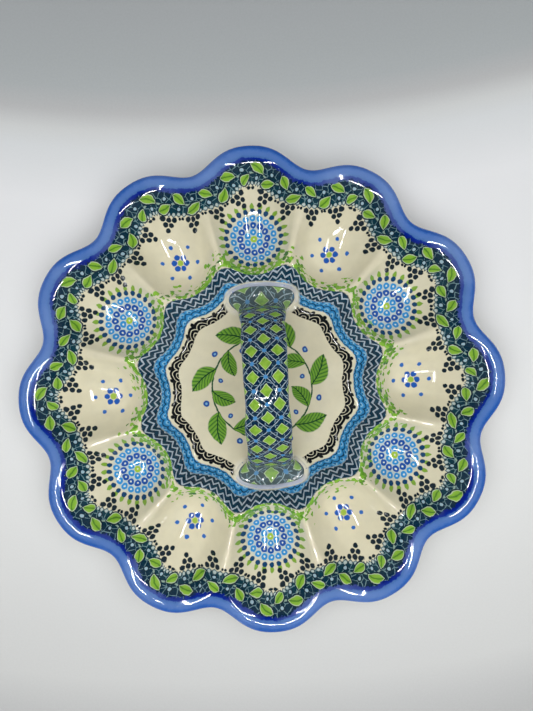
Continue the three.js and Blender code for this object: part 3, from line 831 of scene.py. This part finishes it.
# %% Rosette
RING, RINGS, DOTS_MORE, HEARTS_TO = 3.7, 4, 6, 12.2
PETALS, PETAL_AT, PETAL_PITCH, PETAL_HALF = 24, 17.0, 4.4, (2.1, 1.15)
ring_number = add("ROUND", add("MULTIPLY", reach, 1 / RING))
seat = add("MULTIPLY", add("MULTIPLY", ring_number, DOTS_MORE), around_well)
aside = add("MULTIPLY", from_nearest(seat), 2 * np.pi * RING / DOTS_MORE)
dot = off_point(aside, add("SUBTRACT", reach, add("MULTIPLY", ring_number, RING)))
# The alpha of each ring's colour is half the radius of its dots in millimetres.
ring_colour = add("ValToRGB", add("MULTIPLY", ring_number, 0.2), stops=[
    (0.0, linear("#a0c040", 0.90)), (0.1, linear("#2f8ccc", 0.86)), (0.3, linear("#1c50a0", 0.90)),
    (0.5, linear("#318fd0", 0.84)), (0.7, linear("#123f66", 0.68)), (0.9, linear("#123f66", 0.0))])
ring_colour.node.color_ramp.interpolation = "CONSTANT"
dot_size = add("MULTIPLY", ring_colour.node.outputs["Alpha"], 2.0)
dots = add("MapRange", add("SUBTRACT", dot, dot_size), 0.15, -0.15, **SMOOTH)
heart = add("MULTIPLY", add("MapRange", dot, 0.62, 0.4), add("LESS_THAN", reach, HEARTS_TO))
petal_side = add("ABSOLUTE", from_nearest(add("MULTIPLY", around_well, PETALS)))
petal_along = add("MULTIPLY_ADD", reach, 1 / PETAL_HALF[0], -PETAL_AT / PETAL_HALF[0])
petal_bow = add("POWER", add("ABSOLUTE", petal_along), 2.0)
petal = add("MULTIPLY_ADD", petal_side, PETAL_PITCH / PETAL_HALF[1], petal_bow)
wash = add("MapRange", add("MULTIPLY_ADD", mottle, 3.0, reach), 15.5, 13.0, 0.0, 0.55)
coats += within(odd_well, [(wash, "#a4c6da"), *stamps((petal, 1.1, 0.85, "#7fa63c")), (dots, ring_colour),
                           (heart, "#d9e2d6")])
print("rosette of", 1 + sum(DOTS_MORE * ring for ring in range(1, RINGS + 1)), "dots")

# %% Floret
FLORET_DOTS, FLORET_RING, PEARL_RING = 6, 3.4, 9.6
six_count = add("MULTIPLY", around_well, FLORET_DOTS)
six_side = add("MULTIPLY", from_nearest(six_count), 2 * np.pi / FLORET_DOTS)
floret_y = add("MULTIPLY", add("SINE", six_side), reach)
floret, pearl = (off_point(add("MULTIPLY_ADD", add("COSINE", six_side), reach, -ring), floret_y)
                 for ring in (FLORET_RING, PEARL_RING))
coats += within(even_well, stamps((floret, 1.7, 1.4, "#2257ac"), (pearl, 1.25, 0.95, "#2f68b8"),
                                  (reach, 1.75, 1.45, "#9dbb48")))
print("florets in", WELLS // 2, "wells")

# %% [markdown]
# ## Border along the lip
# Inside the lip runs a dark band with a garland of lime leaves on a pale stem. It is navy at its outer edge,
# where cobalt from the lip has run into it, and a fine net of scratched lines covers it. Pendants of dots
# hang from its inner edge into the wells.

# %% Pendants of dots
PENDANTS = 4
PENDANT_STEP = FRINGE_LOBE / PENDANTS
DROPS = ((0, 22.2, 1.45), (3.1, 21.9, 1.4), (1.55, 24.9, 1.4), (0, 27.8, 1.3), (6.3, 21.4, 0.8))
fringe_u, fringe_v = on_map("fringe", hand)
pendant_x = in_cell(add("MULTIPLY", fringe_u, 1 / PENDANT_STEP), PENDANT_STEP)
pendant = add("CombineXYZ", add("ABSOLUTE", pendant_x), fringe_v, 0)
drops = None
for x, y, radius in DROPS:
    drop = add("SUBTRACT", add("VectorMath:DISTANCE", pendant, (x, y, 0)), radius)
    drops = drop if drops is None else add("MINIMUM", drops, drop)
coats.append((add("MapRange", drops, 0.16, -0.16, **SMOOTH), "#0a1c26"))
print(PENDANTS * WELLS, "pendants")

# %% Dark band with a net of fine lines
BAND_MIDDLE, BEADS_AT, BAND_END, NET_CELL = 14.6, 19.2, 20.2, 3.4
LEAVES, BEADS_PER_LEAF, BEAD_PITCH, BAND_WAVE, BAND_SOFT = 8, 3, 2.6, 0.45, 0.3


def scratched_net(x, y, uneven):
    """Lines along the edges of Voronoi cells NET_CELL wide, their own width varied by an uneven noise."""
    edge = add("TexVoronoi", add("CombineXYZ", x, y, 0), 1 / NET_CELL, None, None, None, 1.0,
               feature="DISTANCE_TO_EDGE", voronoi_dimensions="2D")
    return add("MapRange", add("MULTIPLY_ADD", uneven, 0.16, edge), 0.14, 0.11)


upper = add("GREATER_THAN", v, 0.0)
leaf_count = add("MULTIPLY", u, LEAVES / BORDER_LOBE)
bead_count = add("MULTIPLY", leaf_count, BEADS_PER_LEAF)
wave = add("COSINE", add("MULTIPLY", bead_count, 2 * np.pi))
waved_edge = add("MULTIPLY_ADD", wave, BAND_WAVE, v)
band = add("MULTIPLY", upper, add("MapRange", waved_edge, BAND_END + BAND_SOFT, BAND_END - BAND_SOFT))
band_depth = add("MapRange", add("MULTIPLY_ADD", mottle, 3.0, v), 9.0, 22.0)
band_dark = add("ValToRGB", band_depth, stops=[
    (0.0, "#04205a"), (0.13, "#052338"), (0.55, "#062a39"), (1.0, "#103c46")])
bead_reach = off_point(in_cell(bead_count, BEAD_PITCH), add("SUBTRACT", v, BEADS_AT))
coats.append((band, band_dark))
coats += within(band, [(scratched_net(u, v, mottle), "#6d8c92"), *stamps((bead_reach, 0.9, 0.6, "#b9c6c2"))])
print(LEAVES * BEADS_PER_LEAF * WELLS, "beads along the band")

# %% Garland
BUD_AT, STEM_SWAY = 2.9, 0.7
GARLAND_LEAF = {"size": (3.8, 2.1), "lean": 0.55, "lift": 2.2}
sway = add("SINE", add("MULTIPLY", leaf_count, np.pi))
off_stem = add("MULTIPLY_ADD", sway, -STEM_SWAY, add("SUBTRACT", v, BAND_MIDDLE))
garland_cell = BORDER_LOBE / LEAVES
leaf, off_rib, _, cell_x, cell_y = running_leaves(leaf_count, garland_cell, off_stem, **GARLAND_LEAF)
bud = off_point(cell_x, add("ADD", cell_y, BUD_AT))
leaf_lime = add("ValToRGB", add("MULTIPLY", off_rib, 0.5), stops=[
    (0.0, "#437026"), (0.12, "#5c8e2c"), (0.25, "#7dac34"), (1.0, "#90ba42")])
coats += stamps((add("ABSOLUTE", off_stem), 0.5, 0.3, "#8fa79a"), (leaf, 1.6, 1.45, "#06222f"),
                (leaf, 1.2, 1.1, "#b9c8ae"), (leaf, 1.04, 0.92, leaf_lime), (bud, 1.5, 1.3, "#06222f"),
                (bud, 0.95, 0.75, "#9db8c4"))
print(LEAVES * WELLS, "leaves on the garland")

# %% [markdown]
# ## Cobalt lip, bare patches round the handle, and the foot
# The lip is dipped in cobalt, which gathers in a deep, ragged line along its inner edge. Its paler top and
# the darker blue down its outer side are painted light and shade, and pale patches on it are painted sheen.
# Round the feet of the handle the painter leaves the ground bare. The foot ring is wiped clean before firing,
# so the buff clay shows, dry and rough.

# %% Cobalt lip
RAGGED, SHEEN_PATCH = 0.0020, 0.03
LIP_STARTS, LIP_ENDS = (-8.0, -7.2), (9.1, 8.6)


def lay(ground, painted):
    """Lays coats over a ground in order: each mask mixes in its colour."""
    for mask, colour in painted:
        ground = add("Mix", mask, ground, colour, data_type="RGBA")
    return ground


ragged = add("TexNoise", place, 1 / RAGGED, 3.0, 0.7)
lip_run = add("MULTIPLY_ADD", ragged, 2.0, add("MULTIPLY_ADD", clouds, 2.0, -2.0))
# Painted light and shade: the blue is palest on top of the rolled lip and darkens down its outer side, which
# turns away from the light; the deep line at the inner edge is cobalt that gathered there.
lip_cobalt_and_painted_light = add("ValToRGB", add("MapRange", add("ADD", v, lip_run), -6.0, 9.0), stops=[
    (0.43, "#1455ac"), (0.50, "#2056a9"), (0.567, "#3765b2"), (0.633, "#4f75b9"), (0.70, "#5478b9"),
    (0.767, "#5177b7"), (0.845, "#466daa"), (0.875, "#0b2a8c"), (0.967, "#051a78")])
# Painted sheen: pale patches about 3 cm across lighten the lip's blue at random, standing in for its soft,
# pale reflections.
painted_sheen = add("MapRange", add("TexNoise", place, 1 / SHEEN_PATCH, 2.0), 0.42, 0.68, 0.0, 0.3)
lip_cobalt_and_painted_light = lay(lip_cobalt_and_painted_light, [(painted_sheen, "#8fa8d4")])
lip_edge = add("ADD", v, add("MULTIPLY_ADD", ragged, 6.0, -3.0))
lip = between(lip_edge, LIP_STARTS, LIP_ENDS)
print("lip dipped", LIP_ENDS[0], "mm deep")

# %% Bare patches and foot
PATCH_WIDE, PATCH_DEEP = 20.6, 9.4
WIPED_TO, WIPED_FULLY = 0.0009, 0.0004
patch_x = add("MULTIPLY", add("SUBTRACT", flat_x, HANDLE_ASIDE), 1 / PATCH_WIDE)
patch_y = add("ABSOLUTE", add("SUBTRACT", flat_y, HANDLE_BACK))
patch_y = add("MULTIPLY", add("SUBTRACT", patch_y, ARCH_HALF_SPAN + PAD_OUT), 1 / PATCH_DEEP)
patch = add("ADD", *(add("POWER", add("ABSOLUTE", side), STRAP_SQUARENESS)
                     for side in (patch_x, patch_y)))
coats += within(upper, stamps((patch, 1.1, 0.9, "#dcd7c2")))
foot_bare = add("MapRange", add("SeparateXYZ", place, out=2), WIPED_TO, WIPED_FULLY)
print("bare patches", 2 * PATCH_WIDE, "by", 2 * PATCH_DEEP, "mm")

# %% [markdown]
# ## The glaze
# All coats are laid over the cream ground in order; a fine noise lets a trace of the ground through, as an
# uneven press of the stamp does. The dipped lip comes last. The glaze is a Principled shader with a low
# roughness and an index a little below the 1.5 of real glaze, so reflections veil the dark paint less. Long,
# shallow waves make the reflected tubes tremble, and a fine pitting takes the edge off them. The foot ring
# has the roughness of bare clay.

# %% Finish of the dish
GLAZE_INDEX, CLAY_ROUGHNESS = 1.40, 0.8
STAMP_GRAIN, WATERY, WAVE, PIT = 0.0009, 0.006, 0.014, 0.0011
GLAZE_ROUGHNESS = (0.3, 0.7, 0.03, 0.07)     # noise from, noise to, roughness from, roughness to


def glaze_relief(position, waves, strength, height):
    """Bumps of a glaze: waves of a height in metres, and a fine pitting on top of them."""
    relief = add("Bump", strength, height, None, waves)
    return add("Bump", 0.10, 0.00008, None, add("TexNoise", position, 1 / PIT, 2.0), relief)


def fire(material, pieces, colour, rough, relief):
    """Puts the clear glaze over a colour, and the material on its pieces."""
    add("OutputMaterial", add("BsdfPrincipled", colour, 0.0, rough, GLAZE_INDEX, None, relief))
    for piece in pieces:
        piece.data.materials.append(material)
    print(len(t.nodes), "nodes in", material.name)


cream = add("ValToRGB", clouds, stops=[(0.25, "#d8d1b5"), (0.5, "#dcd5b9"), (0.8, "#e0dac1")])
pressure = add("MapRange", add("TexNoise", place, 1 / STAMP_GRAIN, 3.0, 0.6), 0.30, 0.52, 0.985, 1.0)
surface = lay(cream, [(pressure, lay(cream, coats)), (lip, lip_cobalt_and_painted_light)])
watery = add("ValToRGB", add("TexNoise", place, 1 / WATERY, 4.0), stops=[
    (0.25, (0.94, 0.945, 0.95, 1)), (0.7, (1.02, 1.02, 1.015, 1))])
surface = add("Mix", 1.0, surface, watery, data_type="RGBA", blend_type="MULTIPLY")
clay = add("ValToRGB", mottle, stops=[(0.3, "#b59e7c"), (0.7, "#cdb896")])
surface = lay(surface, [(foot_bare, clay)])
rough = add("Mix", foot_bare, add("MapRange", clouds, *GLAZE_ROUGHNESS), CLAY_ROUGHNESS)
relief = glaze_relief(place, add("TexNoise", place, 1 / WAVE, 1.0), 0.35, 0.0006)
fire(glazed, [dish], surface, rough, relief)

# %% [markdown]
# ## Handle glaze
# The strap carries a dark teal lattice with lime lozenges on its outer face. A lattice is two counted
# coordinates along the diagonals: the larger distance from a cell's middle draws lozenges, and the corner of
# four cells takes a dot. On the rounded edges the glaze runs thin and lilac, and the inner face is plain
# cream.

# %% Lattice on the strap
LOZENGE = 12.4
handle_glaze, t = new_material("painted_glazed_strap")
place = add("TexCoord", out=3)
hand = unsteady(place, 2.0, None, 1.2)
mottle = add("TexNoise", place, 1 / MOTTLE, 3.0)
along, across = on_map("strap", hand)
diagonals = [add("MULTIPLY", add(side, along, across), 1 / LOZENGE) for side in ("ADD", "SUBTRACT")]
first, second = (add("ABSOLUTE", in_cell(count, 1.0)) for count in diagonals)
lozenge = add("MAXIMUM", first, second)
crossing = add("VectorMath:DISTANCE", add("CombineXYZ", first, second, 0), (0.5, 0.5, 0))
teal = add("ValToRGB", mottle, stops=[(0.3, "#02142c"), (0.5, "#06223a"), (0.75, "#103a50")])
lime = add("ValToRGB", mottle, stops=[(0.3, "#6f9c30"), (0.7, "#93bd42")])
colour = lay(teal, [(scratched_net(along, across, mottle), "#7d98a6")] + stamps(
    (lozenge, 0.44, 0.452, "#041c34"), (lozenge, 0.474, 0.486, "#a4b6c0"), (lozenge, 0.33, 0.315, "#031a30"),
    (lozenge, 0.27, 0.257, "#c3d4ac"), (lozenge, 0.24, 0.227, lime), (crossing, 0.12, 0.10, "#4a8cc4")))
print("lozenges", LOZENGE, "mm from tip to tip")

# %% Edges, inner face and glaze of the strap
EDGE_STARTS, EDGE_FULL, INNER_STARTS, INNER_FULL = 10.2, 12.6, 14.2, 15.4
STRAP_WAVE, PAD_WASH = 0.007, 0.3
from_end = add("MINIMUM", along, add("SUBTRACT", ARCH_LENGTH, along))
on_strap = add("MapRange", from_end, FLARE_END - 4, FLARE_END + 1, **SMOOTH)
from_middle = add("ABSOLUTE", across)
edge = add("MapRange", from_middle, EDGE_STARTS, EDGE_FULL)
thin = add("MULTIPLY", add("MULTIPLY", edge, add("MapRange", mottle, 0.35, 0.6)), 0.7)
inner = add("MapRange", from_middle, INNER_STARTS, INNER_FULL)
colour = lay(colour, within(on_strap, [(thin, "#8f9fc4"), (inner, "#d3cfb9")]))
washed = add("MULTIPLY_ADD", on_strap, -PAD_WASH, PAD_WASH)
colour = lay(colour, [(washed, "#83958c"), *stamps((from_end, 1.7, 0.9, "#12333c"))])
rough = add("MapRange", mottle, *GLAZE_ROUGHNESS)
relief = glaze_relief(place, add("TexNoise", place, 1 / STRAP_WAVE, 2.5), 0.60, 0.0008)
fire(handle_glaze, [handle], colour, rough, relief)

# %% [markdown]
# ## Seam glaze
# The fillet of slip is glazed but hardly painted: cream, clouded with the lilac grey of gathered glaze and a
# few blue flecks that ran off the stamps. On the outer side, where it crosses the dark band, it takes a lilac
# blue.

# %% Glaze on the slip beads
SEAM_CLOUD, FLECK = 0.004, 0.0018
OUTER_STARTS, OUTER_FULL = 0.048, 0.054
seam_glaze, t = new_material("glazed_slip")
place = add("TexCoord", out=3)
clouds = add("TexNoise", place, 1 / SEAM_CLOUD, 3.0)
colour = add("ValToRGB", clouds, stops=[(0.25, "#cfced0"), (0.5, "#ddd8c4"), (0.75, "#e4dec3")])
fleck = add("MapRange", add("TexNoise", place, 1 / FLECK, 2.0), 0.66, 0.72)
from_front = add("SUBTRACT", add("SeparateXYZ", place, out=1), HANDLE_BACK * MM)
outer_side = add("MapRange", add("ABSOLUTE", from_front), OUTER_STARTS, OUTER_FULL, 0.0, 0.7)
colour = lay(colour, [(fleck, "#5f78a8"), (outer_side, "#95a2c2")])
relief = add("Bump", 0.3, 0.0004, None, clouds)
rough = add("MapRange", clouds, *GLAZE_ROUGHNESS)
fire(seam_glaze, beads, colour, rough, relief)
